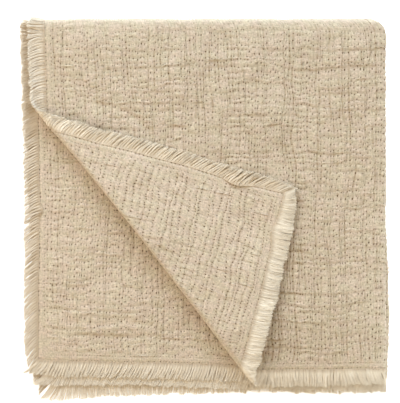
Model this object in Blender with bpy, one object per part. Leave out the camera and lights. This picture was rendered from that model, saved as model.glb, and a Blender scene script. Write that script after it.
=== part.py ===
# A throw blanket of crinkled double-woven cotton with a frayed fringe on its four sides.
# It lies folded in four: first across its width, so that the folds of both pairs of layers are on the
# right, then along its length, so that the doubled cloth bends over at the back. The near left corner of
# the top layer is turned back. X runs to the right, Y to the back fold and Z up, in metres.
import math
import random
import bmesh
import bpy
from mathutils import Matrix, Quaternion, Vector

MM = 0.001
RIGHT = Vector((1, 0, 0))
UP = Vector((0, 0, 1))

# The folded outline, measured from the middle of the lying throw.
FOLD_SIDE_X = 328.3 * MM
FOLD_BACK_Y = 339.2 * MM
CORNER_RADIUS = 30.0 * MM
CORNER_REACH = 0.96

# The cloth and how loosely its layers lie on each other, from middle to middle.
CLOTH_THICKNESS = 3.0 * MM
FRINGE_THICKNESS = 2.0 * MM
FRINGE_DROP = (CLOTH_THICKNESS - FRINGE_THICKNESS) / 2
LAYER_GAP_MIDDLE = 5.0 * MM
LAYER_GAP_EDGE = 4.0 * MM
LAYER_GAP_FOLD = 7.0 * MM
EDGE_RUN = 90.0 * MM
FOLD_RUN = 70.0 * MM
FOLD_SOFTNESS = 1.7
OVERHANG_RUN = 45.0 * MM
UNEVENNESS = 0.7 * MM

# Where each layer's cloth ends, from the top layer down. The left edge slants between its two ends, and
# so does the near edge. Layers that share a fold share their ends there.
LAYER_COLUMNS = ("left_at_back", "left_at_front", "front_at_left", "front_at_right", "bow")
LAYER_ROWS = (
    (-289.0, -266.0, -303.0, -294.0, 0.0),
    (-304.0, -301.5, -280.0, -294.0, 4.0),
    (-304.0, -281.0, -295.0, -306.0, 2.0),
    (-289.0, -272.0, -316.0, -306.0, -3.0),
)
LAYERS = [{name: size * MM for name, size in zip(LAYER_COLUMNS, row)} for row in LAYER_ROWS]
FRONT_SLANT_ENDS = (1.0, 1.0, 1.0, 0.5)  # how far across the near edge reaches its right end's place
TOP, SECOND, THIRD, BOTTOM = range(4)
LOWER_FOLD_BULGE = 7.0 * MM

# The corner that is turned back: two points of the crease as seen from above, and its roll.
CREASE_LEFT_END = Vector((-276.3, 139.5)) * MM
CREASE_FRONT_END = Vector((63.9, -288.9)) * MM
ROLL_RADIUS = 8.0 * MM
ROLL_LIFT = 2.0 * MM
LIFT_RUN = 50.0 * MM
SETTLE_RUN = 180.0 * MM
FLAP_GAP = 5.0 * MM

# The fringe: a narrow strip parted from the cloth's edge carries the locks of frayed yarn.
CUT_GAP = 0.3 * MM
STRIP_WIDTH = 4.0 * MM
FRINGE_LENGTH = 30.0 * MM
LOCK_PITCH = 19.0 * MM
LOCK_SHARE = 0.84
FOLD_LOCKS = 3
LOCK_TIP_SHARE = 0.72
LOCK_LEAN = 0.1
CORNER_LEAN = 0.5
CORNER_LEAN_RUN = 45.0 * MM
LENGTH_SPREAD = 0.1
MARGIN = 3.0 * MM

# How finely the cloth's middle surface is divided.
FLAT_STEP = 48.0 * MM
FOLD_STEPS = 8
ROLL_STEPS = 9
SETTLE_STEPS = 4

COTTON_COLOUR = (0.62, 0.50, 0.36, 1.0)
FRINGE_COLOUR = (0.64, 0.51, 0.35, 1.0)

# Values worked out from the sizes above.
stack_gap_back = 2 * LAYER_GAP_MIDDLE + LAYER_GAP_FOLD
back_radius = stack_gap_back / 2
side_radius = LAYER_GAP_FOLD / 2
fold_line_x = FOLD_SIDE_X - side_radius * FOLD_SOFTNESS - CLOTH_THICKNESS / 2
fold_line_y = FOLD_BACK_Y - back_radius * FOLD_SOFTNESS - CLOTH_THICKNESS / 2
outer_width = fold_line_x - (LAYERS[TOP]["left_at_back"] + LAYERS[TOP]["left_at_front"]) / 2
inner_width = fold_line_x - (LAYERS[SECOND]["left_at_back"] + LAYERS[SECOND]["left_at_front"]) / 2
upper_length = fold_line_y - (LAYERS[TOP]["front_at_right"] + LAYERS[SECOND]["front_at_right"]) / 2
lower_length = fold_line_y - (LAYERS[THIRD]["front_at_right"] + LAYERS[BOTTOM]["front_at_right"]) / 2
side_fold_length = math.pi * side_radius * (1 + FOLD_SOFTNESS) / 2
back_fold_length = math.pi * back_radius * (1 + FOLD_SOFTNESS) / 2
cloth_width = outer_width + side_fold_length + inner_width
cloth_length = upper_length + back_fold_length + lower_length
lock_width = LOCK_PITCH * LOCK_SHARE

crease_along = (CREASE_FRONT_END - CREASE_LEFT_END).normalized()
crease_out = Vector((crease_along.y, -crease_along.x))
roll_start = CREASE_LEFT_END - crease_out * (ROLL_RADIUS + CLOTH_THICKNESS / 2)
roll_length = math.pi * ROLL_RADIUS


def lerp(a, b, t):
    return a + (b - a) * t


def ramp(value, low, high):
    """0 below low, 1 above high, and smooth between."""
    t = min(1.0, max(0.0, (value - low) / (high - low)))
    return t * t * (3 - 2 * t)


def bell(distance, run):
    return math.exp(-((distance / run) ** 2))


def left_edge(layer, forward):
    """The x where a layer's cloth ends on the left. forward is 0 at the near edge and 1 at the back fold."""
    row = LAYERS[layer]
    slant = lerp(row["left_at_front"], row["left_at_back"], forward)
    return slant + row["bow"] * math.sin(math.pi * min(1.0, max(0.0, forward)))


def front_edge(layer, across):
    """The y where a layer's cloth ends in front. across is 0 at the left and 1 at the side fold."""
    row = LAYERS[layer]
    return lerp(row["front_at_left"], row["front_at_right"], ramp(across, 0.0, FRONT_SLANT_ENDS[layer]))


def side_line(pair_is_lower, y):
    """The x of the middle of the side fold, drawn in at the rounded back corner."""
    rise = (y - (FOLD_BACK_Y - CORNER_RADIUS)) / CORNER_RADIUS
    rise = min(CORNER_REACH, max(0.0, rise))
    drawn_in = CORNER_RADIUS * (1 - math.sqrt(1 - rise * rise))
    share = (y - LAYERS[TOP]["front_at_right"]) / upper_length
    bulge = LOWER_FOLD_BULGE * bell(share - 0.15, 0.25) if pair_is_lower else 0.0
    return fold_line_x - drawn_in + bulge


def carried(layer, x, y):
    """1 where a layer, its fringe included, lies under the point, falling to 0 outside it."""
    forward = (y - front_edge(layer, 0.5)) / (fold_line_y - front_edge(layer, 0.5))
    across = (x - left_edge(layer, forward)) / (fold_line_x - left_edge(layer, forward))
    reach = FRINGE_LENGTH * (1 + LENGTH_SPREAD) + MARGIN
    past_left = left_edge(layer, forward) - reach
    past_front = front_edge(layer, across) - reach
    return ramp(x, past_left - OVERHANG_RUN, past_left) * ramp(y, past_front - OVERHANG_RUN, past_front)


def loft(x, y):
    """The usual gap between two layers, smaller near the free edges."""
    from_left = x - LAYERS[TOP]["left_at_back"]
    from_front = y - LAYERS[TOP]["front_at_right"]
    gap = lerp(LAYER_GAP_EDGE, LAYER_GAP_MIDDLE, ramp(min(from_left, from_front), 0.0, EDGE_RUN))
    wave = math.sin(11.0 * x + 2.0) * math.sin(9.0 * y + 0.7)
    return gap + UNEVENNESS * wave * ramp(min(from_left, from_front), 0.0, EDGE_RUN)


def pair_gap(x, y):
    """Between the two layers of a pair, which the side fold joins."""
    return lerp(loft(x, y), LAYER_GAP_FOLD, bell(fold_line_x - x, FOLD_RUN) if x < fold_line_x else 1.0)


def middle_gap(x, y):
    """Between the second and the third layer, which the inner back bend joins."""
    return lerp(loft(x, y), LAYER_GAP_FOLD, bell(fold_line_y - y, FOLD_RUN) if y < fold_line_y else 1.0)


def level(layer, x, y, is_fringe):
    """The height of the middle of a layer."""
    height = CLOTH_THICKNESS / 2
    if layer <= THIRD:
        height += pair_gap(x, y) * carried(BOTTOM, x, y)
    if layer <= SECOND:
        height += middle_gap(x, y) * carried(THIRD, x, y)
    if layer == TOP:
        height += pair_gap(x, y) * carried(SECOND, x, y)
    return height - FRINGE_DROP * is_fringe


def flat_point(layer, across, forward, is_fringe):
    """A point of a flat layer and the direction that its outer side faces."""
    y = lerp(front_edge(layer, across), fold_line_y, forward)
    x = lerp(left_edge(layer, forward), side_line(layer >= THIRD, y), across)
    facing = UP if layer in (TOP, THIRD) else -UP
    return Vector((x, y, level(layer, x, y, is_fringe))), facing


def bent_point(layers, across, turn, is_fringe):
    """A point on the back bend that joins an upper and a lower layer. turn is 0 above and pi below."""
    above, facing = flat_point(layers[0], across, 1.0, is_fringe)
    below = flat_point(layers[1], across, 1.0, is_fringe)[0]
    radius = (above.z - below.z) / 2
    outermost_y = fold_line_y + back_radius * FOLD_SOFTNESS * math.sin(turn)
    x = lerp(left_edge(layers[0], 1.0), side_line(False, outermost_y), across)
    y = fold_line_y + min(radius, back_radius) * FOLD_SOFTNESS * math.sin(turn)
    outward = Vector((0, math.sin(turn), FOLD_SOFTNESS * math.cos(turn))).normalized()
    return Vector((x, y, (above.z + below.z) / 2 + radius * math.cos(turn))), outward * facing.z


def folded_point(q, w):
    """Where a point of the cut cloth lies in the folded stack, the way its outer side faces, and whether
    it is in the flat top layer. q runs across the cloth and w along it, from the corner that is turned back."""
    is_fringe = not (0 <= q <= cloth_width and 0 <= w <= cloth_length)
    turn = math.pi * (w - upper_length) / back_fold_length

    def on_sheet(is_outer, across):
        if w <= upper_length:
            return flat_point(TOP if is_outer else SECOND, across, w / upper_length, is_fringe)
        if w < upper_length + back_fold_length:
            return bent_point((TOP, BOTTOM) if is_outer else (SECOND, THIRD), across, turn, is_fringe)
        forward = (cloth_length - w) / lower_length
        return flat_point(BOTTOM if is_outer else THIRD, across, forward, is_fringe)

    if q <= outer_width:
        return *on_sheet(True, q / outer_width), w <= upper_length
    if q >= outer_width + side_fold_length:
        return *on_sheet(False, (cloth_width - q) / inner_width), False
    outer, facing = on_sheet(True, 1.0)
    inner = on_sheet(False, 1.0)[0]
    roll = math.pi * (q - outer_width) / side_fold_length
    half = (outer - inner) / 2
    bulge = RIGHT * half.length * FOLD_SOFTNESS * math.sin(roll)
    place = (outer + inner) / 2 + half * math.cos(roll) + bulge
    return place, (facing * FOLD_SOFTNESS * math.cos(roll) + RIGHT * math.sin(roll)).normalized(), False


def turned_back(point, facing, is_fringe):
    """Where a point of the flat top layer lies, and faces, once the corner is rolled over the crease."""
    beyond = (point.xy - roll_start).dot(crease_out)
    if beyond <= 0:
        lift = ROLL_LIFT + FRINGE_DROP * is_fringe
        return point + UP * lift * ramp(beyond, -LIFT_RUN, 0.0), facing
    angle = min(math.pi, beyond / ROLL_RADIUS)
    flat = max(0.0, beyond - roll_length)
    plan = point.xy + crease_out * (ROLL_RADIUS * math.sin(angle) - beyond - flat)
    settled = ramp(flat, 0.0, SETTLE_RUN)
    height = lerp(ROLL_LIFT + ROLL_RADIUS * (1 - math.cos(angle)), FLAP_GAP, settled)
    place = Vector((plan.x, plan.y, level(TOP, plan.x, plan.y, False) + height))
    return place, Quaternion(crease_out.to_3d().cross(UP), angle) @ facing


def roll_cuts():
    """The distances past the start of the roll at which the top layer gets an edge."""
    lift = [-LIFT_RUN, -LIFT_RUN / 2]
    roll = [roll_length * step / ROLL_STEPS for step in range(ROLL_STEPS + 1)]
    settle = [roll_length + SETTLE_RUN * (step + 1) / SETTLE_STEPS for step in range(SETTLE_STEPS)]
    return lift + roll + settle


def steps_between(start, end, longest):
    count = max(1, math.ceil((end - start) / longest - 1e-9))
    return [lerp(start, end, step / count) for step in range(count + 1)]


def cloth_stations(first, fold, second):
    """The places of the grid's lines along one direction: two flat lengths with a fold between them."""
    front = steps_between(0.0, first, FLAT_STEP)
    bend = [first + fold * step / FOLD_STEPS for step in range(1, FOLD_STEPS)]
    back = steps_between(first + fold, first + fold + second, FLAT_STEP)
    return front + bend + back


def solid_from_quads(name, quads, thickness, material):
    """One closed solid from the quads of its middle surface, given as corners in the cut cloth."""
    mesh = bmesh.new()
    facing = mesh.verts.layers.float_vector.new("facing")
    verts, in_top = {}, set()

    def vert(corner):
        key = (round(corner[0], 7), round(corner[1], 7))
        if key not in verts:
            place, outward, is_top = folded_point(*corner)
            verts[key] = mesh.verts.new(place)
            verts[key][facing] = outward
            if is_top:
                in_top.add(verts[key])
        return verts[key]

    faces = [mesh.faces.new([vert(corner) for corner in quad]) for quad in quads]
    top_faces = [face for face in faces if in_top.issuperset(face.verts)]
    turn_corner(mesh, top_faces, facing, thickness == FRINGE_THICKNESS)
    thicken(mesh, facing, thickness)
    data = bpy.data.meshes.new(name)
    mesh.to_mesh(data)
    mesh.free()
    data.materials.append(material)
    made = bpy.data.objects.new(name, data)
    bpy.context.scene.collection.objects.link(made)
    return made


def turn_corner(mesh, faces, facing, is_fringe):
    """Cuts the top layer's faces along the roll and lays the corner back over the crease."""
    top = set(faces)
    for distance in roll_cuts():
        foot = roll_start + crease_out * distance
        edges = {edge for face in top for edge in face.edges}
        corners = {vert for face in top for vert in face.verts}
        cut = bmesh.ops.bisect_plane(
            mesh,
            geom=list(top) + list(edges) + list(corners),
            dist=MM / 1000,
            plane_co=foot.to_3d(),
            plane_no=crease_out.to_3d(),
        )
        top = {item for item in cut["geom"] if isinstance(item, bmesh.types.BMFace)}
    for vert in {vert for face in top for vert in face.verts}:
        vert.co, vert[facing] = turned_back(vert.co.copy(), vert[facing].normalized(), is_fringe)


def thicken(mesh, facing, thickness):
    """Makes a solid of a middle surface: half the thickness on each side, and a rim round its edge."""
    made = bmesh.ops.extrude_face_region(mesh, geom=mesh.faces[:], use_keep_orig=True)["geom"]
    outer = {item for item in made if isinstance(item, bmesh.types.BMVert)}
    for vert in mesh.verts:
        vert.co += vert[facing] * thickness / 2 * (1 if vert in outer else -1)
    bmesh.ops.recalc_face_normals(mesh, faces=mesh.faces)


def cotton(name, colour):
    material = bpy.data.materials.new(name)
    material.use_nodes = True
    shader = material.node_tree.nodes["Principled BSDF"]
    shader.inputs["Base Color"].default_value = colour
    shader.inputs["Roughness"].default_value = 0.95
    shader.inputs["Metallic"].default_value = 0.0
    return material


def build_cloth(material):
    across = cloth_stations(outer_width, side_fold_length, inner_width)
    along = cloth_stations(upper_length, back_fold_length, lower_length)
    quads = [
        ((q0, w0), (q1, w0), (q1, w1), (q0, w1))
        for q0, q1 in zip(across, across[1:])
        for w0, w1 in zip(along, along[1:])
    ]
    return solid_from_quads("throw_cloth", quads, CLOTH_THICKNESS, material)


def lock_spans(first, fold, second):
    """The start and end of each lock's root along one side of the cloth, narrower where it is bent."""
    spans = []
    for start, end, longest in (
        (0.0, first, LOCK_PITCH),
        (first, first + fold, fold / FOLD_LOCKS),
        (first + fold, first + fold + second, LOCK_PITCH),
    ):
        stations = steps_between(start, end, longest)
        spans += [(a, lerp(a, b, LOCK_SHARE)) for a, b in zip(stations, stations[1:])]
    return spans


def build_fringe(name, place, sizes, seed, material):
    """The frayed fringe of one side. place gives the point of the cut cloth at a distance out and along."""
    length = sum(sizes)
    chance = random.Random(seed)
    spans = lock_spans(*sizes)
    stations = sorted({round(end, 7) for span in spans for end in span} | set(cloth_stations(*sizes)))
    stations = [a for a, b in zip(stations, stations[1:] + [math.inf]) if b - a > MM / 2]
    outer = CUT_GAP + STRIP_WIDTH
    quads = [
        (place(CUT_GAP, a), place(CUT_GAP, b), place(outer, b), place(outer, a))
        for a, b in zip(stations, stations[1:])
    ]
    for start, end in spans:
        inside = [s for s in stations if start - MM / 2 <= s <= end + MM / 2]
        middle = (start + end) / 2
        reach = FRINGE_LENGTH * (1 + chance.uniform(-1, 1) * LENGTH_SPREAD)
        lean = chance.uniform(-1, 1) * LOCK_LEAN * ramp(end - start, lock_width / 2, lock_width * 0.9)
        lean += CORNER_LEAN * (bell(length - middle, CORNER_LEAN_RUN) - bell(middle, CORNER_LEAN_RUN))
        tip = middle + lean * (reach - outer)

        tips = [tip + (station - middle) * LOCK_TIP_SHARE for station in inside]
        for a, b, tip_a, tip_b in zip(inside, inside[1:], tips, tips[1:]):
            quads.append((place(outer, a), place(outer, b), place(reach, tip_b), place(reach, tip_a)))
    return solid_from_quads(name, quads, FRINGE_THICKNESS, material)


def build_fringes(material):
    across = (outer_width, side_fold_length, inner_width)
    along = (upper_length, back_fold_length, lower_length)
    sides = (
        ("fringe_left_outer", lambda out, s: (-out, s), along),
        ("fringe_left_inner", lambda out, s: (cloth_width + out, s), along),
        ("fringe_front_upper", lambda out, s: (s, -out), across),
        ("fringe_front_lower", lambda out, s: (s, cloth_length + out), across),
    )
    return [build_fringe(*side, seed, material) for seed, side in enumerate(sides)]


def centre_on_floor(pieces):
    """Moves the throw so that the middle of its underside is the origin."""
    points = [vert.co for piece in pieces for vert in piece.data.vertices]
    middle = [(min(p[axis] for p in points) + max(p[axis] for p in points)) / 2 for axis in range(2)]
    for piece in pieces:
        piece.data.transform(Matrix.Translation((-middle[0], -middle[1], 0)))


def main():
    for old in list(bpy.data.objects):
        bpy.data.objects.remove(old)
    cloth = build_cloth(cotton("crinkled cotton", COTTON_COLOUR))
    fringes = build_fringes(cotton("frayed cotton yarn", FRINGE_COLOUR))
    centre_on_floor([cloth] + fringes)


main()
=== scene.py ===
import functools
import math
import bpy
import numpy as np
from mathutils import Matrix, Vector


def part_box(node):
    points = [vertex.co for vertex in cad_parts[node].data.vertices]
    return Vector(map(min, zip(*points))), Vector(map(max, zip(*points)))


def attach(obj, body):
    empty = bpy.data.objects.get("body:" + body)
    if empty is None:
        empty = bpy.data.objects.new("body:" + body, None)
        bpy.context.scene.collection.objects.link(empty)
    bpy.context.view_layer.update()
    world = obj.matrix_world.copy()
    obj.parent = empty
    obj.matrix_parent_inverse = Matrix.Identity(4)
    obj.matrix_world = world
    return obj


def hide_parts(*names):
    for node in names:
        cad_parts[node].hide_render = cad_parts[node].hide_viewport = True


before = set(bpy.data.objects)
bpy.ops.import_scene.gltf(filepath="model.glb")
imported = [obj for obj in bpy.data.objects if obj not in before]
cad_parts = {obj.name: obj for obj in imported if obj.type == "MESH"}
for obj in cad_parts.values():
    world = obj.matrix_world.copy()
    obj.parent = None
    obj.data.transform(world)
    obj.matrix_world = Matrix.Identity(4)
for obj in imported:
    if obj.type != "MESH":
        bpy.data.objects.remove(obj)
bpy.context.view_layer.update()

# A folded throw of crinkled double-woven cotton with a frayed fringe. The cloth is one closed sheet on a
# lattice of the flat cut, carried through the folds by the same sums as the solids. The fringe's strands
# come from Geometry Nodes, along a narrow band that continues the cloth past its edges. All in metres.

mm = 0.001
right = np.array((1.0, 0.0, 0.0))
up = np.array((0.0, 0.0, 1.0))

folding = {
    "sideX": 328.3 * mm,  # the side fold, from the middle of the lying throw
    "backY": 339.2 * mm,  # the back fold
    "cornerRadius": 30 * mm,
    "cornerReach": 0.96,
    "clothThickness": 3 * mm,
    "gapMiddle": 5 * mm,  # from layer to layer
    "gapEdge": 4 * mm,
    "gapFold": 7 * mm,
    "edgeRun": 90 * mm,
    "foldRun": 70 * mm,
    "softness": 1.7,
    "overhangRun": 45 * mm,
    "unevenness": 0.7 * mm,
    "bulge": 7 * mm,  # how far the lower pair's side fold stands out, and where along it
    "bulgePlace": 0.15,
    "bulgeRun": 0.25,
    "edgeWave": 0.8 * mm,  # how far the free edges stray from their straight line
    "edgeWaves": ((13.0, 1.7, 1.0), (37.0, 2.9, 0.5)),  # how quick, shifted by layer, and how strong
    "waveFade": 0.1,
    "swell": 0.35 * mm,  # the slow hills and hollows that each gap adds, by length, heading and phase
    "swells": ((0.155, 0.4, 0.3), (0.118, 1.9, 2.1), (0.091, 2.7, 4.4), (0.134, 1.2, 5.2)),
}

# Where each layer's cloth ends, from the top layer down, in millimetres.
layers = [
    {"leftBack": -289, "leftFront": -266, "frontLeft": -303, "frontRight": -294, "bow": 0},
    {"leftBack": -304, "leftFront": -301.5, "frontLeft": -280, "frontRight": -294, "bow": 4},
    {"leftBack": -304, "leftFront": -281, "frontLeft": -295, "frontRight": -306, "bow": 2},
    {"leftBack": -289, "leftFront": -272, "frontLeft": -316, "frontRight": -306, "bow": -3},
]
layers = [{name: size * mm for name, size in row.items()} for row in layers]
frontSlantEnds = (1.0, 1.0, 1.0, 0.5)  # how far across the near edge reaches its right end's place
top, second, third, bottom = range(4)

turnedCorner = {
    "creaseLeftEnd": np.array((-276.3, 139.5)) * mm,
    "creaseFrontEnd": np.array((63.9, -288.9)) * mm,
    "rollRadius": 8 * mm,
    "drawnIn": 5.8 * mm,  # how much flatter the roll is where it is sharpest
    "sharpness": 0.7,  # below 1 the sharpest place is nearer the left end
    "rollLift": 1 * mm,
    "liftRun": 50 * mm,
    "settleRun": 180 * mm,
    "flapGap": 5 * mm,
    "frontCurl": 4 * mm,  # how far the turned corner's short side stands off the cloth below
    "curlRun": 45 * mm,
    "curlStart": 60 * mm,
    "fringeReach": 36 * mm,  # the fringe and a margin, which the layers above rest on too
}

backRadius = (2 * folding["gapMiddle"] + folding["gapFold"]) / 2
sideRadius = folding["gapFold"] / 2
foldX = folding["sideX"] - sideRadius * folding["softness"] - folding["clothThickness"] / 2
foldY = folding["backY"] - backRadius * folding["softness"] - folding["clothThickness"] / 2
outerWidth, innerWidth = (foldX - (row["leftBack"] + row["leftFront"]) / 2 for row in layers[:third])
upperLength, lowerLength = (
    foldY - (upper["frontRight"] + lower["frontRight"]) / 2
    for upper, lower in (layers[:third], layers[third:])
)
sideFoldLength = math.pi * sideRadius * (1 + folding["softness"]) / 2
backFoldLength = math.pi * backRadius * (1 + folding["softness"]) / 2
clothWidth = outerWidth + sideFoldLength + innerWidth
clothLength = upperLength + backFoldLength + lowerLength

creaseAlong = turnedCorner["creaseFrontEnd"] - turnedCorner["creaseLeftEnd"]
creaseLength = np.linalg.norm(creaseAlong)
creaseAlong = creaseAlong / creaseLength
creaseOut = np.array((creaseAlong[1], -creaseAlong[0]))
rollStart = turnedCorner["creaseLeftEnd"] - creaseOut * (
    turnedCorner["rollRadius"] + folding["clothThickness"] / 2
)
rollLength = math.pi * turnedCorner["rollRadius"]


def lerp(a, b, t):
    return a + (b - a) * t


def ramp(value, low, high):
    t = np.clip((value - low) / (high - low), 0.0, 1.0)
    return t * t * (3 - 2 * t)


def bell(distance, run):
    return np.exp(-((distance / run) ** 2))


def unit(vectors):
    return vectors / np.linalg.norm(vectors, axis=1)[:, None]


def edgeWave(layer, share):
    waves = (size * np.sin(speed * share + shift * layer) for speed, shift, size in folding["edgeWaves"])
    return folding["edgeWave"] * sum(waves)


def leftEdge(layer, forward):
    # the x where a layer's cloth ends; forward is 0 in front and 1 at the back fold
    row = layers[layer]
    slant = lerp(row["leftFront"], row["leftBack"], forward)
    bow = row["bow"] * np.sin(math.pi * np.clip(forward, 0.0, 1.0))
    return slant + bow + edgeWave(layer, forward) * ramp(1 - forward, 0.0, folding["waveFade"])


def frontEdge(layer, across):
    # the y where a layer's cloth ends; across is 0 on the left and 1 at the side fold
    row = layers[layer]
    wave = edgeWave(layer + len(layers), across) * ramp(1 - across, 0.0, folding["waveFade"])
    return lerp(row["frontLeft"], row["frontRight"], ramp(across, 0.0, frontSlantEnds[layer])) + wave


def sideLine(isLowerPair, y):
    rise = (y - (folding["backY"] - folding["cornerRadius"])) / folding["cornerRadius"]
    rise = np.clip(rise, 0.0, folding["cornerReach"])
    drawnIn = folding["cornerRadius"] * (1 - np.sqrt(1 - rise * rise))
    share = (y - layers[top]["frontRight"]) / upperLength
    bulge = folding["bulge"] * isLowerPair * bell(share - folding["bulgePlace"], folding["bulgeRun"])
    return foldX - drawnIn + bulge


def wayTo(value, start, end):
    return (value - start) / (end - start)


def carried(layer, x, y):
    # 1 where a layer with its fringe lies under the point, falling to 0 outside it
    left = leftEdge(layer, wayTo(y, frontEdge(layer, 0.5), foldY))
    pastLeft = left - turnedCorner["fringeReach"]
    pastFront = frontEdge(layer, wayTo(x, left, foldX)) - turnedCorner["fringeReach"]
    run = folding["overhangRun"]
    return ramp(x, pastLeft - run, pastLeft) * ramp(y, pastFront - run, pastFront)


def loft(x, y):
    # the usual gap between two layers: smaller near the free edges, with slow hills and hollows
    inside = np.minimum(x - layers[top]["leftBack"], y - layers[top]["frontRight"])
    inside = ramp(inside, 0.0, folding["edgeRun"])
    hills = folding["unevenness"] * np.sin(11.0 * x + 2.0) * np.sin(9.0 * y + 0.7)
    for length, heading, phase in folding["swells"]:
        along = x * math.cos(heading) + y * math.sin(heading)
        hills = hills + folding["swell"] * np.sin(2 * math.pi * along / length + phase) / 2
    return lerp(folding["gapEdge"], folding["gapMiddle"], inside) + hills * inside


def gapBy(fromFold, x, y):
    # the gap between two layers, wider near the fold that they share
    near = np.where(fromFold > 0, bell(fromFold, folding["foldRun"]), 1.0)
    return lerp(loft(x, y), folding["gapFold"], near)


def level(layer, x, y):
    # the height of the middle of a layer, on what lies under it
    height = folding["clothThickness"] / 2 + 0.0 * x
    for below, fromFold in ((bottom, foldX - x), (third, foldY - y), (second, foldX - x)):
        if layer < below:
            height = height + gapBy(fromFold, x, y) * carried(below, x, y)
    return height


def flatPoints(layer, across, forward):
    y = lerp(frontEdge(layer, across), foldY, forward)
    x = lerp(leftEdge(layer, forward), sideLine(layer >= third, y), across)
    return np.stack((x, y, level(layer, x, y)), 1)


def sheetPoints(upperLayer, lowerLayer, across, w):
    # one width of the cloth over its whole length: an upper layer, the back bend and a lower layer
    upper = flatPoints(upperLayer, across, np.minimum(w / upperLength, 1.0))
    lower = flatPoints(lowerLayer, across, np.minimum((clothLength - w) / lowerLength, 1.0))
    turn = math.pi * np.clip((w - upperLength) / backFoldLength, 0.0, 1.0)
    radius = (upper[:, 2] - lower[:, 2]) / 2
    outermost = foldY + backRadius * folding["softness"] * np.sin(turn)
    bendX = lerp(leftEdge(upperLayer, 1.0), sideLine(False, outermost), across)
    bendY = foldY + np.minimum(radius, backRadius) * folding["softness"] * np.sin(turn)
    bendZ = (upper[:, 2] + lower[:, 2]) / 2 + radius * np.cos(turn)
    bend = np.stack((bendX, bendY, bendZ), 1)
    points = np.where((turn > 0)[:, None], bend, upper)
    points = np.where((turn >= math.pi)[:, None], lower, points)
    outward = np.stack((0.0 * turn, np.sin(turn), folding["softness"] * np.cos(turn)), 1)
    return points, unit(outward)


def foldedPoints(q, w):
    # where points of the flat cut lie in the stack, and the way its outer side faces: q runs across the
    # cut and w along it, from the corner that is turned back
    outer, outward = sheetPoints(top, bottom, np.minimum(q / outerWidth, 1.0), w)
    inner, _ = sheetPoints(second, third, np.minimum((clothWidth - q) / innerWidth, 1.0), w)
    roll = math.pi * np.clip((q - outerWidth) / sideFoldLength, 0.0, 1.0)[:, None]
    isInner = roll >= math.pi
    half = (outer - inner) / 2
    bulge = right * np.linalg.norm(half, axis=1)[:, None] * folding["softness"] * np.sin(roll)
    points = np.where(isInner, inner, (outer + inner) / 2 + half * np.cos(roll) + bulge)
    facing = outward * folding["softness"] * np.cos(roll) + right * np.sin(roll)
    facing = np.where(isInner, -outward, unit(facing))
    return turnCorner(points, facing, (q <= outerWidth) & (w <= upperLength))


def pastRoll(points):
    # how far a point of the flat top layer is past the start of the roll
    return (points[:, :2] - rollStart) @ creaseOut


def turnCorner(points, facing, inTop):
    # rolls the near left corner of the top layer over the crease and lays it on the layer
    beyond = np.where(inTop, pastRoll(points), -1.0)
    radius = turnedCorner["rollRadius"]
    share = np.clip((points[:, :2] - rollStart) @ creaseAlong / creaseLength, 0.0, 1.0)
    depth = radius - turnedCorner["drawnIn"] * np.sin(math.pi * share ** turnedCorner["sharpness"])
    angle = np.clip(beyond / radius, 0.0, math.pi)
    flat = np.maximum(0.0, beyond - rollLength)
    reach = depth * np.sin(angle) - beyond - flat
    plan = points[:, :2] + creaseOut * reach[:, None]
    settled = ramp(flat, 0.0, turnedCorner["settleRun"])
    height = lerp(turnedCorner["rollLift"] + radius * (1 - np.cos(angle)), turnedCorner["flapGap"], settled)
    fromFront = points[:, 1] - layers[top]["frontLeft"]
    curl = turnedCorner["frontCurl"] * bell(fromFront, turnedCorner["curlRun"])
    height = height + curl * ramp(flat, 0.0, turnedCorner["curlStart"])
    angle = np.arctan2(radius * np.sin(angle), depth * np.cos(angle))
    rolled = np.column_stack((plan, level(top, plan[:, 0], plan[:, 1]) + height))
    lift = turnedCorner["rollLift"] * ramp(beyond, -turnedCorner["liftRun"], 0.0) * inTop
    places = np.where((beyond > 0)[:, None], rolled, points + up * lift[:, None])
    axis = np.array((creaseOut[1], -creaseOut[0], 0.0))
    sine = np.sin(angle)[:, None]
    cosine = np.cos(angle)[:, None]
    turned = facing * cosine + np.cross(axis, facing) * sine + axis * (facing @ axis)[:, None] * (1 - cosine)
    return places, turned, beyond


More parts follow.
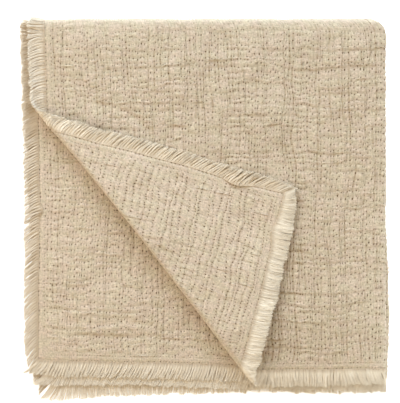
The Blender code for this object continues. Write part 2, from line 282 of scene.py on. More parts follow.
weave = {
    "cells": (456, 354),  # lattice cells across and along the flat cut, both a multiple of the block
    "block": 6,
    "borderStep": 3.2 * mm,
    "tackEvery": (2, 3),  # lattice lines from one line of tacking points to the next, across and along
    "firstTack": 6,
    "borderRows": (1, 4),  # the two rows of stay stitches beside each edge
    "halfThickness": 1.3 * mm,
    "rimHalfThickness": 0.55 * mm,
    "rimRun": 7 * mm,
    "puff": 1.2 * mm,  # how far the cloth stands up between its tacks
    "puffSpread": 0.4,
    "grooveDepth": 0.8 * mm,
    "tackDepth": 0.9 * mm,
    "lineStray": (1.0 * mm, 2.0 * mm),  # how far whole lines are from even spacing, across and along
    "lineBend": (1.5 * mm, 2.8 * mm),
    "jitter": 1.4 * mm,  # how far a tack strays from its place on the line
    "wander": 4.5 * mm,  # how far all the lines bend together
    "crumple": 0.7 * mm,
    "grit": 0.13 * mm,
    "wanderGaps": (0.05, 0.06),  # from knot to knot of the soft noise, across and along
    "crumpleGaps": ((0.016, 0.009), (0.045, 0.030)),
    "slowCrumple": 0.7,
    "puffGaps": (0.008, 0.008),
    "lineGap": 0.02,
    "strayRun": (4 * mm, 16 * mm),  # how far in from the edge the straying starts, and is whole
    "wanderRun": (8 * mm, 50 * mm),
    "crumpleRun": (2 * mm, 25 * mm),
    "grooveChance": (0.7, 1.0),
    "tightGroove": 0.15,
    "shallowLine": 0.6,  # how high an open line is, beside the puffs
    "taken": 0.92,  # how many of the places for tacks have one
    "looseTack": 0.5,
    "tackStrength": {"least": 0.52, "chance": 0.45, "groove": 0.45, "tight": 0.3},
    "stitchStrength": (0.35, 0.9),
    "stitchGroove": 0.4,
    "borderPuff": 0.4,
    "seed": 11,
}
# How deep a line is drawn in along its length: some lines are steady, and all come and go.
lineDepth = {
    "lengthwise": 0.16,
    "crosswise": 0.3,
    "steady": 0.6,
    "steadyPower": 2.5,
    "change": 0.4,
    "gaps": (0.06, 0.014),
}
# How strongly the cloth is drawn in along it and across it, and whether its tacks follow the cross lines.
outerGrooves = {"lengthwise": 1.0, "crosswise": 0.7, "tacksAcross": False}
innerGrooves = {"lengthwise": 0.8, "crosswise": 0.7, "tacksAcross": False}
turnedGrooves = {"lengthwise": 0.6, "crosswise": 0.75, "tacksAcross": True}
sideMiddle = outerWidth + sideFoldLength / 2
backMiddle = upperLength + backFoldLength / 2


def stations(total, cells):
    # where the lattice lines are: closer beside the edges, for the stay stitches
    rows = weave["borderRows"][-1]
    border = rows * weave["borderStep"]
    near = np.arange(rows) * weave["borderStep"]
    middle = np.linspace(border, total - border, cells - 2 * rows + 1)
    return np.concatenate((near, middle, total - near[::-1]))


across = stations(clothWidth, weave["cells"][0])
along = stations(clothLength, weave["cells"][1])
chance = np.random.default_rng(weave["seed"])


def splineWeights(places, gap):
    # weights of evenly spaced cubic B-spline knots, a row for each place
    spot = places / gap
    first = np.floor(spot).astype(int)
    t = spot - first
    parts = ((1 - t) ** 3, 3 * t**3 - 6 * t**2 + 4, -3 * t**3 + 3 * t**2 + 3 * t + 1, t**3)
    weights = np.zeros((len(places), first.max() + 4))
    for step, part in enumerate(parts):
        weights[np.arange(len(places)), first + step] = part / 6
    return weights


def softNoise(gapAcross, gapAlong):
    # smooth hills over the lattice, mostly between -1 and 1
    first = splineWeights(across, gapAcross)
    last = splineWeights(along, gapAlong)
    knots = chance.uniform(-1, 1, (first.shape[1], last.shape[1]))
    return 1.9 * first @ knots @ last.T


def noiseForEachLine(count, places, gap):
    # a separate soft noise along each of the lines
    weights = splineWeights(places, gap)
    return 1.5 * chance.uniform(-1, 1, (count, weights.shape[1])) @ weights.T


def tackLines(way):
    # way is 0 for the lines that run along the cloth and 1 for those across it
    first = weave["firstTack"]
    return np.arange(first, weave["cells"][way] - first + 1, weave["tackEvery"][way])


def isLine(way, lines):
    # marks the lattice lines, as a column or a row that spreads over the lattice
    marks = np.isin(np.arange(weave["cells"][way] + 1), lines)
    return marks[:, None] if way == 0 else marks[None, :]


def betweenLines(way):
    # linear weights that carry values at the tack lines to every lattice line
    cells = weave["cells"][way]
    border = np.array((0, *weave["borderRows"]))
    lines = np.concatenate((border, tackLines(way), cells - border[::-1]))
    spots = np.arange(cells + 1)
    low = np.clip(np.searchsorted(lines, spots, side="right") - 1, 0, len(lines) - 2)
    t = (spots - lines[low]) / (lines[low + 1] - lines[low])
    weights = np.zeros((len(spots), len(lines)))
    weights[spots, low] = 1 - t
    weights[spots, low + 1] += t
    return weights


def strayed():
    # where each lattice point is in the flat cut, once the tacks have strayed and the rows wandered
    first, last = betweenLines(0), betweenLines(1)
    fromEdge = np.minimum(across, clothWidth - across), np.minimum(along, clothLength - along)
    edge = np.minimum(*np.meshgrid(*fromEdge, indexing="ij"))
    wander = weave["wander"] * ramp(edge, *weave["wanderRun"])
    still = len(weave["borderRows"]) + 1
    moved = []
    for way, lines, places in ((0, first, along), (1, last, across)):
        count = lines.shape[1]
        stray = weave["lineStray"][way] * chance.uniform(-1, 1, (count, 1))
        stray = stray + weave["lineBend"][way] * noiseForEachLine(count, places, weave["lineGap"])
        stray[:still] = stray[-still:] = 0
        stray = lines @ stray
        knots = chance.uniform(-1, 1, (first.shape[1], last.shape[1])) * weave["jitter"]
        knots[:still] = knots[-still:] = 0
        knots[:, :still] = knots[:, -still:] = 0
        stray = (stray if way == 0 else stray.T) * ramp(edge, *weave["strayRun"])
        moved.append(first @ knots @ last.T + stray + wander * softNoise(*weave["wanderGaps"]))
    return across[:, None] + moved[0], along[None, :] + moved[1], edge


def crinkle(edge, calm, tight, grooves):
    # the relief of one side of the cloth at each lattice point, and how tacked and how grooved it is
    count = len(across), len(along)
    onLines = isLine(0, tackLines(0)), isLine(1, tackLines(1))

    def brokenLines(least, lines, places):
        steady = lineDepth["steady"] * chance.uniform(0, 1, (lines, 1)) ** lineDepth["steadyPower"]
        slow, quick = (noiseForEachLine(lines, places, gap) for gap in lineDepth["gaps"])
        return np.clip(least + steady + lineDepth["change"] * (slow + quick), 0, 1)

    lengthwise = grooves["lengthwise"] * brokenLines(lineDepth["lengthwise"], count[0], along)
    crosswise = grooves["crosswise"] * brokenLines(lineDepth["crosswise"], count[1], across).T
    groove = np.maximum(lengthwise * onLines[0], crosswise * onLines[1])
    # where the cloth is drawn tight its grooves and tacks are stronger, which also darkens their painted
    # shade
    groove = groove * chance.uniform(*weave["grooveChance"], count) * (1 + tight)
    groove = np.minimum(groove + weave["tightGroove"] * tight, 1.0)

    # the tacks sit on the lines at uneven steps, so that they don't fall into a grid
    takenOn = []
    for way in (0, 1):
        every = weave["tackEvery"][1 - way]
        shifts = chance.integers(0, every, count[way])
        taken = (np.arange(count[1 - way])[None, :] + shifts[:, None]) % every == 0
        takenOn.append((taken if way == 0 else taken.T) & onLines[way])
    taken = np.where(grooves["tacksAcross"], takenOn[1], takenOn[0])
    taken = taken & (chance.uniform(0, 1, count) < weave["taken"])
    strength = weave["tackStrength"]
    tacked = strength["least"] + strength["chance"] * chance.uniform(0, 1, count)
    tacked = np.clip(tacked + strength["groove"] * groove + strength["tight"] * tight, 0, 1)
    tacked = np.where(taken, tacked, weave["looseTack"] * groove * chance.uniform(0, 1, count))

    rows = []
    for way in (0, 1):
        near = np.array(weave["borderRows"])
        rows.append(isLine(way, np.concatenate((near, weave["cells"][way] - near))))
    beyondTacks = edge < across[weave["firstTack"]] - 1 * mm
    even = (np.arange(count[0]) % 2 == 0)[:, None], (np.arange(count[1]) % 2 == 0)[None, :]
    stitches = (rows[0] & even[1]) | (rows[1] & even[0])
    tacked = np.where(beyondTacks, stitches * chance.uniform(*weave["stitchStrength"], count), tacked)
    stitched = (rows[0] | rows[1]) * chance.uniform(0, weave["stitchGroove"], count)
    groove = np.where(beyondTacks, stitched, groove)

    puff = weave["puff"] * (1 + weave["puffSpread"] * softNoise(*weave["puffGaps"]))
    puff = puff * np.where(beyondTacks, weave["borderPuff"], 1.0)
    onLine = (onLines[0] | onLines[1]) & ~beyondTacks
    relief = np.where(onLine, lerp(weave["shallowLine"] * puff, -weave["grooveDepth"], groove), puff)
    relief = np.minimum(relief, np.where(tacked > 0, lerp(puff, -weave["tackDepth"], tacked), 1.0))
    relief = relief + weave["grit"] * chance.normal(0, 1, count) * ramp(edge, 0, 8 * mm)
    half = lerp(weave["rimHalfThickness"], weave["halfThickness"], ramp(edge, 0, weave["rimRun"]))
    return half, relief * calm, tacked * calm, groove * calm


# Creases that show in the cloth as it lies: the layer, half width, depth and the way, in millimetres.
creases = [
    (top, 6, 1.6, ((-195, 184), (-150, 176), (-112, 150), (-96, 132))),
    (top, 3.5, 2.0, ((172, 16), (168, -4), (154, -84), (128, -190), (106, -290))),
    (second, 2.6, 1.4, ((-125, -38), (-124, -70), (-127, -115))),
    (second, 2.6, 1.3, ((-104, -66), (-103, -95), (-106, -128))),
    (second, 2.6, 1.2, ((-72, -124), (-73, -155))),
    (second, 5, 1.3, ((-240, -206), (-190, -214), (-140, -205), (-95, -216))),
    (second, 5, 1.3, ((-225, -232), (-170, -240), (-110, -231), (-50, -244))),
]
# Where the top layer is drawn tight, beside the turned-back corner's fringe: deeper tacks and grooves there,
# whose darker marks also paint the shade beside that fringe.
tightAndShadedPlace = {"run": 20, "path": ((160, -80), (137, -195), (116, -292))}


def nearPath(points, run, path):
    # 1 on a path over the throw, falling to 0 beside it
    path = np.array(path) * mm
    nearest = np.full(len(points), 1.0)
    for start, end in zip(path, path[1:]):
        way = end - start
        t = np.clip((points[:, :2] - start) @ way / (way @ way), 0, 1)
        gap = np.linalg.norm(points[:, :2] - start - t[:, None] * way, axis=1)
        nearest = np.minimum(nearest, gap)
    return bell(nearest, run * mm)


def creaseDepth(points, layer):
    depth = np.zeros(len(points))
    for creased, run, deepest, path in creases:
        depth = np.maximum(depth, deepest * mm * nearPath(points, run, path) * (layer == creased))
    return depth


# How far past what shows the cloth is still fine.
detail = {"margin": 12 * mm, "underFlap": 20 * mm, "besideRoll": 15 * mm}


def underFlap(points, beyond):
    # whether the turned-back corner lies on this point of the top layer
    mirrored = points[:, :2] + creaseOut * (rollLength - 2 * beyond)[:, None]
    forward = wayTo(mirrored[:, 1], layers[top]["frontLeft"], foldY)
    isLeft = mirrored[:, 0] > leftEdge(top, forward) + detail["underFlap"]
    return isLeft & (mirrored[:, 1] > layers[top]["frontLeft"] + detail["underFlap"]) & (beyond < 0)


def detailWanted(points, layer, beyond, q, w):
    # where each side of the cloth shows: fine on what is seen, medium below and inside the folds
    x, y = points[:, 0], points[:, 1]
    margin = detail["margin"]
    inSideFold = np.abs(q - sideMiddle) < sideFoldLength / 2 + margin
    inBackFold = np.abs(w - backMiddle) < backFoldLength / 2 + margin
    outerSide = q < sideMiddle
    inRoll = (layer == top) & (beyond > -margin) & (beyond < rollLength + margin / 2)

    def peeksPast(upper):
        forward = np.clip(wayTo(y, layers[upper]["frontLeft"], foldY), 0, 1)
        share = np.clip(wayTo(x, layers[upper]["leftBack"], foldX), 0, 1)
        return (x < leftEdge(upper, forward) + margin) | (y < frontEdge(upper, share) + margin)

    outerFine = inSideFold | (inBackFold & outerSide) | inRoll
    outerFine |= (layer == top) & (beyond <= 0) & ~underFlap(points, np.minimum(beyond, 0.0))
    outerFine |= (layer == third) & peeksPast(second)
    innerFine = (layer == top) & (beyond > -margin)
    innerFine |= (layer == second) & ((pastRoll(points) > -detail["besideRoll"]) | peeksPast(top))
    innerFine |= (layer == bottom) & peeksPast(third)
    outerMedium = inBackFold | (layer == bottom)
    innerMedium = inBackFold | inSideFold
    return (outerFine, outerMedium), (innerFine, innerMedium)


def blockSteps(fine, medium):
    block = weave["block"]
    count = [cells // block for cells in weave["cells"]]

    def anyIn(mask):
        cells = mask.reshape(len(across), len(along))[:-1, :-1]
        return cells.reshape(count[0], block, count[1], block).any(axis=(1, 3))

    return np.where(anyIn(fine), 1, np.where(anyIn(medium), 2, block))


def coarsePoints(steps):
    # the lattice points that a coarse block uses, which stay smooth
    block = weave["block"]
    mask = np.zeros((len(across), len(along)), bool)
    for i, j in zip(*np.nonzero(steps == block)):
        mask[i * block : (i + 1) * block + 1, j * block : (j + 1) * block + 1] = True
    return mask


def skinFaces(steps):
    # one side's faces as lattice points; a cell takes in the finer points of the cells beside it
    block = weave["block"]
    cellsAcross, cellsAlong = weave["cells"]
    columns = len(along)

    def stepAt(i, j):
        if 0 <= i < cellsAcross and 0 <= j < cellsAlong:
            return steps[i // block, j // block]
        return 1

    fine = np.kron(steps == 1, np.ones((block, block), bool))
    i, j = np.nonzero(fine)
    corner = i * columns + j
    faces = np.stack((corner, corner + columns, corner + columns + 1, corner + 1), 1).tolist()
    sides = (1, 0), (0, 1), (-1, 0), (0, -1)
    for bi, bj in zip(*np.nonzero(steps > 1)):
        step = int(steps[bi, bj])
        for i in range(bi * block, (bi + 1) * block, step):
            for j in range(bj * block, (bj + 1) * block, step):
                starts = (i, j), (i + step, j), (i + step, j + step), (i, j + step)
                beyond = (i, j - 1), (i + step, j), (i, j + step), (i - 1, j)
                ring = []
                for (a, b), (wayA, wayB), cell in zip(starts, sides, beyond):
                    for k in range(0, step, min(step, stepAt(*cell))):
                        ring.append((a + wayA * k) * columns + b + wayB * k)
                faces.append(ring)
    return faces


def rimFaces(offset):
    # the narrow wall round the edge of the cloth, between its two sides
    grid = np.arange(len(across) * len(along)).reshape(len(across), len(along))
    ring = np.concatenate((grid[:-1, 0], grid[-1, :-1], grid[:0:-1, -1], grid[0, :0:-1]))
    after = np.roll(ring, -1)
    return np.stack((after, ring, ring + offset, after + offset), 1).tolist()


# the tacks, grooves and puffs also set where the cloth's material paints shade
markNames = ("tacked", "groove", "puff", "innerSide")  # what the cloth's vertices tell its material
# Where the cloth lies smooth: how smooth it is there, and over what run.
smoothed = {"roll": (0.8, 9 * mm), "secondCorner": (0.6, 60 * mm), "backFold": (0.5, 30 * mm)}
sharpestRoll = 0.62 * rollLength
# The map for the bake: the outer side on the left, the inner side on the right, and the rim above them.
bakeMap = {"start": 0.01, "side": (0.48, 0.94), "inner": 0.5, "rim": (0.965, 0.99), "rimLength": 0.98}


def calmBy(name, distance):
    amount, run = smoothed[name]
    return 1 - amount * bell(distance, run)


def addMap(mesh, name, places):
    # a UV map, with a place for each face corner
    uv = mesh.uv_layers.new(name=name)
    uv.uv.foreach_set("vector", places.astype(np.float32).ravel())


def addValues(mesh, name, values):
    # a value for each vertex
    numbers = mesh.attributes.new(name, "FLOAT", "POINT")
    numbers.data.foreach_set("value", values.astype(np.float32))


def clothMesh():
    q, w, edge = strayed()
    shape = q.shape
    q, w = q.ravel(), w.ravel()
    points, facing, beyond = foldedPoints(q, w)
    upper, lower = np.where(q < sideMiddle, top, second), np.where(q < sideMiddle, bottom, third)
    layer = np.where(w < backMiddle, upper, lower)
    outerSteps, innerSteps = (blockSteps(*sides) for sides in detailWanted(points, layer, beyond, q, w))

    calm = np.where(layer == top, calmBy("roll", beyond - sharpestRoll), 1.0)
    calm = calm * np.where(layer == second, calmBy("secondCorner", np.hypot(q - clothWidth, w)), 1.0)
    calm = (calm * calmBy("backFold", w - backMiddle)).reshape(shape)
    quick, slow = (softNoise(*gaps) for gaps in weave["crumpleGaps"])
    crumple = weave["crumple"] * (quick + weave["slowCrumple"] * slow)
    crumple = crumple * ramp(edge, *weave["crumpleRun"]) * calm
    sunk = creaseDepth(points, layer)
    tight = (nearPath(points, **tightAndShadedPlace) * (layer == top)).reshape(shape)

    sides = []
    marks = []
    isTurned = (layer == top).reshape(shape)
    inner = {name: np.where(isTurned, turnedGrooves[name], innerGrooves[name]) for name in innerGrooves}
    for sign, steps, grooves in ((1, outerSteps, outerGrooves), (-1, innerSteps, inner)):
        half, relief, tacked, groove = crinkle(edge, calm, tight * (sign > 0), grooves)
        shown = ~coarsePoints(steps)
        away = sign * (half + relief * shown) + crumple * shown
        placed = points + facing * away.reshape(-1, 1)
        placed[:, 2] -= sunk * shown.ravel()
        sides.append(placed)
        isInner = np.full(q.shape, float(sign < 0))
        marks.append(np.stack((tacked.ravel(), groove.ravel(), relief.ravel() / weave["puff"], isInner)))
    corners = np.concatenate(sides)
    corners[:, 2] = np.maximum(corners[:, 2], 0.0)
    marks = np.concatenate(marks, 1)

    offset = q.size
    faces = skinFaces(outerSteps)
    faces += [[corner + offset for corner in reversed(face)] for face in skinFaces(innerSteps)]
    rim = rimFaces(offset)
    rimCount = len(rim)
    faces += rim
    loops = np.array([corner for face in faces for corner in face])
    used, renumbered = np.unique(loops, return_inverse=True)
    ends = np.cumsum([len(face) for face in faces])
    faces = [part.tolist() for part in np.split(renumbered, ends[:-1])]

    mesh = bpy.data.meshes.new("crinkledThrow")
    mesh.from_pydata(corners[used].tolist(), [], faces)
    for name, values in zip(markNames, marks):
        addValues(mesh, name, values[used])
    lattice = np.column_stack([np.tile(part.ravel(), 2) for part in np.indices(shape)])
    addMap(mesh, "cut", np.column_stack((np.tile(q, 2), np.tile(w, 2)))[loops])
    addMap(mesh, "lattice", lattice[loops])

    places = lattice / (np.array(shape) - 1) * bakeMap["side"] + bakeMap["start"]
    places[offset:, 0] += bakeMap["inner"]
    places = places[loops]
    ringSteps = np.arange(rimCount)[:, None] + np.array((1, 0, 0, 1))
    places[-4 * rimCount :, 0] = (bakeMap["start"] + bakeMap["rimLength"] * ringSteps / rimCount).ravel()
    places[-4 * rimCount :, 1] = np.tile(np.repeat(bakeMap["rim"], 2), rimCount)
    addMap(mesh, "OFBake", places)
    smooth = np.ones(len(faces), bool)
    smooth[-rimCount:] = False
    mesh.polygons.foreach_set("use_smooth", smooth)
    return mesh


def readNumbers(items, name, count, kind=np.float32):
    values = np.empty(count, kind)
    items.foreach_get(name, values)
    return values


def vertexPlaces(mesh):
    return readNumbers(mesh.vertices, "co", len(mesh.vertices) * 3).reshape(-1, 3)


def move(mesh, offset):
    places = (vertexPlaces(mesh) + offset).astype(np.float32)
    mesh.vertices.foreach_set("co", places.ravel())
    mesh.update()


def addPiece(name, mesh):
    piece = bpy.data.objects.new(name, mesh)
    bpy.context.scene.collection.objects.link(piece)
    return piece


def triangleCount(mesh):
    mesh.calc_loop_triangles()
    return len(mesh.loop_triangles)


# Node helpers: values are given by the socket's name or number, and a socket as a value makes a link.
def addNode(tree, kind, values=None, **settings):
    node = tree.nodes.new(kind)
    for name, value in settings.items():
        setattr(node, name, value)
    for socket, value in (values or {}).items():
        if isinstance(value, bpy.types.NodeSocket):
            tree.links.new(value, node.inputs[socket])
        else:
            node.inputs[socket].default_value = value
    return node


def fromNode(tree, kind, values=None, **settings):
    return addNode(tree, kind, values, **settings).outputs[0]


def calc(tree, operation, *values, clamp=False):
    values = dict(enumerate(values))
    return fromNode(tree, "ShaderNodeMath", values, operation=operation, use_clamp=clamp)


def chained(tree, operation, values):
    return functools.reduce(lambda result, value: calc(tree, operation, result, value), values)


def vectorCalc(tree, operation, values):
    return fromNode(tree, "ShaderNodeVectorMath", values, operation=operation)


def mixColours(tree, factor, first, second, blend="MIX"):
    values = {0: factor, 6: first, 7: second}
    return addNode(tree, "ShaderNodeMix", values, data_type="RGBA", blend_type=blend).outputs[2]


def spreadOver(tree, value, low, high, toLow, toHigh):
    values = {0: value, 1: low, 2: high, 3: toLow, 4: toHigh}
    return fromNode(tree, "ShaderNodeMapRange", values, interpolation_type="SMOOTHSTEP")


fringe = {
    "strands": 6200,  # along one side of the cloth
    "reach": 29.5 * mm,
    "inset": 2.2 * mm,
    "rootLift": 1.0 * mm,  # the roots lie on the cloth's edge
    "strandRadius": 0.42 * mm,
    "tuftShare": 0.68,  # the rest of the strands lie in the gaps between the tufts, with painted shade
    "clumpWidth": 5.0 * mm,
    "clumpBlur": (-0.08, 0.08),  # how far, in clumps, a strand may be past its clump's bounds
    "clumpMiddle": (0.4, 0.6),
    "clumpPull": 0.4,
    "pullPower": 0.6,  # below 1 strands come together early on their way
    "clumpLean": 0.07,
    "clumpLift": 0.6 * mm,  # how much higher one tuft lies than the next
    "liftShare": (0.4, 2.0),
    "clumpLength": (0.95, 1.03),
    "strandLean": 0.04,
    "gapLean": 3.5,  # how many times more the strands in the gaps lean
    "strandLength": (0.92, 1.03),
    "slowLength": (0.96, 0.08),
    "wave": 1.8 * mm,
    "waveTurn": 5.2,  # how far round, in radians, a wave comes along a strand
    "waveShare": (0.3, 1.0),
    "loneWave": 0.3,  # how much of its wave a strand outside the tufts has
    "messyWave": 4.0,
    "mess": 0.22,  # how far strands stray where the fringe is ruffled
    "slowMess": 0.5,
    "turnIn": 7 * mm,  # how far its root moves in over the cloth there
    "ruffleLift": 2.4 * mm,
    "messLift": 4 * mm,
    "spread": 0.85 * mm,  # half the thickness of the even strands
    "rootSpread": 0.8,
    "tipSpread": 0.5,  # how much more at the tips
    "sinkPower": 1.3,  # above 1 a strand sinks late on its way
    "thickness": (0.8, 1.2),
    "tipTaper": 0.45,
    "linePoints": 6,
    "sectionCorners": 3,
    "bandStep": 2.6 * mm,
    "bandPast": 33 * mm,  # how far the guide band runs past the cloth's corners
    "bandInside": 12 * mm,
    "bandReach": 39 * mm,
    "bandRows": 21,
}
treeSizes = ("reach", "inset", "rootLift", "strandRadius", "tuftShare", "clumpWidth", "clumpPull",
             "clumpLean", "clumpLift", "strandLean", "wave", "mess", "turnIn", "spread")
# Slow noise along a side: its scale, its shift, and the values between which it rises from 0 to 1.
slowNoises = {
    "tone": (55.0, 1.3, 0.3, 0.7),
    "mess": (24.0, 5.7, 0.62, 0.74),
    "length": (45.0, 9.1, 0.3, 0.7),
}
# How light a strand is, from 0 to 1: to start with, with painted shade in a gap, and by slow, clump and
# strand chance.
yarnTone = {"start": 0.42, "gapShade": -0.55, "slow": 0.15, "byClump": 0.12, "byStrand": 0.2}


def rise(low, high, amount):
    return lambda s: amount * ramp(s, low, high)


def hump(middle, run, amount):
    return lambda s: amount * bell(s - middle, run * mm)


def step(place, amount):
    return lambda s: amount * (s >= place)


def ripple(s):
    return 0.1 * np.sin(s * 19.0)


def changed(entry, s):
    # a start value with its changes, at places s along a side
    start, *changes = entry
    return start + 0.0 * s + sum(change(s) for change in changes)


leftSlant = (0.3, rise(0.02, 0.26, 0.35), rise(0.3, 0.56, 0.35), hump(0, 14, -0.7))
leftUpright = 4 * mm  # over this run from the back fold the slant comes in


def slantOfLeft(w):
    # how the strands of a left edge slant towards the front, more so away from the back fold
    fromBack = np.maximum(0.0, np.abs(w - backMiddle) - backFoldLength / 2)
    slant = changed(leftSlant, fromBack) * ramp(fromBack, 0.0, leftUpright)
    return slant * np.where(w < backMiddle, -1, 1)


# What changes along each side, from the turned-back corner on. Each entry is a start value, to which rises
# (from, to, amount), humps (middle, run in mm, amount) and steps (place, amount) are added.
# lean, fan and bow: how the strands slant, spread round a corner, and sag and rise again
# kept: -0.5 keeps a slanting strand's length, and 0 its reach
# curl: above 1 a strand starts straight and only its tip slants or hangs over
# ear and droop: how far in mm it stands off the back fold, and sinks to what lies under it
# share: how long it is; gather: how far strands gather in tufts; ruffle: where they are ruffled; the last
# entry is painted light and shade: the strands lighter or darker by where that fringe lies
besideTip = 0.372  # on the top layer's front edge, just right of the turned-back corner's tip
frontLean = (0, ripple, rise(0.50, 0.55, 0.5), rise(0.64, 0.66, -0.1), hump(besideTip, 15, -0.8))
fringeSides = [
    {
        "name": "leftOuterFringe",
        "node": "fringe_left_outer",
        "length": clothLength,
        "place": lambda out, s: (-out, s),
        "lean": (0, slantOfLeft),
        "kept": (-0.5, step(backMiddle, 0.25)),
        "curl": (1.25, rise(0.38, 0.44, 0.95), step(backMiddle, -0.95)),
        "ear": (0, hump(backMiddle, 20, 8)),
        "droop": (2.7, rise(0.40, 0.46, -6), step(backMiddle, 4.9)),
        "share": (1, hump(backMiddle, 13, -0.2), hump(0, 26, -0.4), hump(clothLength, 30, 0.12)),
        "gather": (0.9, rise(0.38, 0.44, -0.25), step(backMiddle, -0.25)),
        "ruffle": (0, hump(0.088, 24, 1.2)),
        "paintedShading": (-0.12, rise(0.36, 0.44, 0.35), step(backMiddle, -0.55)),
    },
    {
        "name": "leftInnerFringe",
        "node": "fringe_left_inner",
        "length": clothLength,
        "place": lambda out, s: (clothWidth + out, s),
        "lean": (0, slantOfLeft),
        "fan": (0, hump(0, 35, -0.4)),
        "kept": (-0.3, hump(0, 30, -0.2)),
        "curl": (1.3,),
        "ear": (0, hump(backMiddle, 20, -8)),
        "droop": (0.4, rise(0.40, 0.46, 3.1), step(backMiddle, -1.9)),
        "share": (1, hump(backMiddle, 13, -0.2), hump(0, 30, -0.1), hump(clothLength, 30, 0.2)),
        "gather": (1.0, rise(0.40, 0.47, -0.6)),
        "ruffle": (0, hump(0.28, 11, 0.8)),
        "paintedShading": (0.1, rise(0.40, 0.46, -0.5)),
    },
    {
        "name": "frontUpperFringe",
        "node": "fringe_front_upper",
        "length": clothWidth,
        "place": lambda out, s: (s, -out),
        "lean": frontLean,
        "fan": (0, hump(clothWidth, 24, 0.9), hump(0, 24, -0.45)),
        "bow": (0.05, rise(0.36, 0.42, -0.05)),
        "kept": (-0.5, step(sideMiddle, 0.2)),
        "curl": (1.35,),
        "droop": (0.8, rise(0.34, 0.40, 3.7), rise(0.64, 0.66, -3.9), rise(0.82, 0.88, 0.8)),
        "share": (1, hump(0, 26, -0.4), hump(besideTip, 15, 0.15)),
        "gather": (0.22, rise(0.36, 0.42, 0.28), rise(0.64, 0.66, 0.35)),
        "ruffle": (0, hump(0.076, 18, 0.9)),
        "paintedShading": (0.35, rise(0.33, 0.39, 0.2), rise(0.64, 0.66, 0.2), hump(besideTip, 15, 0.3)),
    },
    {
        "name": "frontLowerFringe",
        "node": "fringe_front_lower",
        "length": clothWidth,
        "place": lambda out, s: (s, clothLength + out),
        "lean": frontLean,
        "fan": (0, hump(clothWidth, 24, 1), hump(0, 24, -1)),
        "kept": (-0.25,),
        "curl": (1.35,),
        "droop": (1.6, step(sideMiddle, -1)),
        "share": (1.1, step(sideMiddle, -0.1), hump(clothWidth, 30, 0.2), hump(0, 30, 0.2)),
        "gather": (0.1,),
        "paintedShading": (0.25, step(sideMiddle, 0.5)),
    },
]
sideUnits = {"lean": 1, "fan": 1, "bow": 1, "kept": 1, "curl": 1, "ear": mm, "droop": mm, "share": 1,
             "gather": 1, "ruffle": 1, "paintedShading": 1}


def guideBand(side):
    # the cloth's middle surface carried on past one edge, with its way along and out as a UV map
    rows = np.linspace(-fringe["bandInside"], fringe["bandReach"], fringe["bandRows"])
    start, end = -fringe["bandPast"], side["length"] + fringe["bandPast"]
    columns = np.linspace(start, end, int((end - start) / fringe["bandStep"]))
    s, out = (values.ravel() for values in np.meshgrid(columns, rows, indexing="ij"))
    points, facing, _ = foldedPoints(*side["place"](out, s))
    count = len(rows)
    corner = (np.arange(len(columns) - 1)[:, None] * count + np.arange(count - 1)[None, :]).ravel()
    faces = np.stack((corner, corner + count, corner + count + 1, corner + 1), 1)
    mesh = bpy.data.meshes.new(side["name"] + "Band")
    mesh.from_pydata(points.tolist(), [], faces.tolist())
    addMap(mesh, "wayAlong", np.column_stack((s, out))[faces.ravel()])
    outward = mesh.attributes.new("outward", "FLOAT_VECTOR", "POINT")
    outward.data.foreach_set("vector", facing.astype(np.float32).ravel())
    for name, unit in sideUnits.items():
        addValues(mesh, name, changed(side.get(name, (0,)), s) * unit)
    return mesh


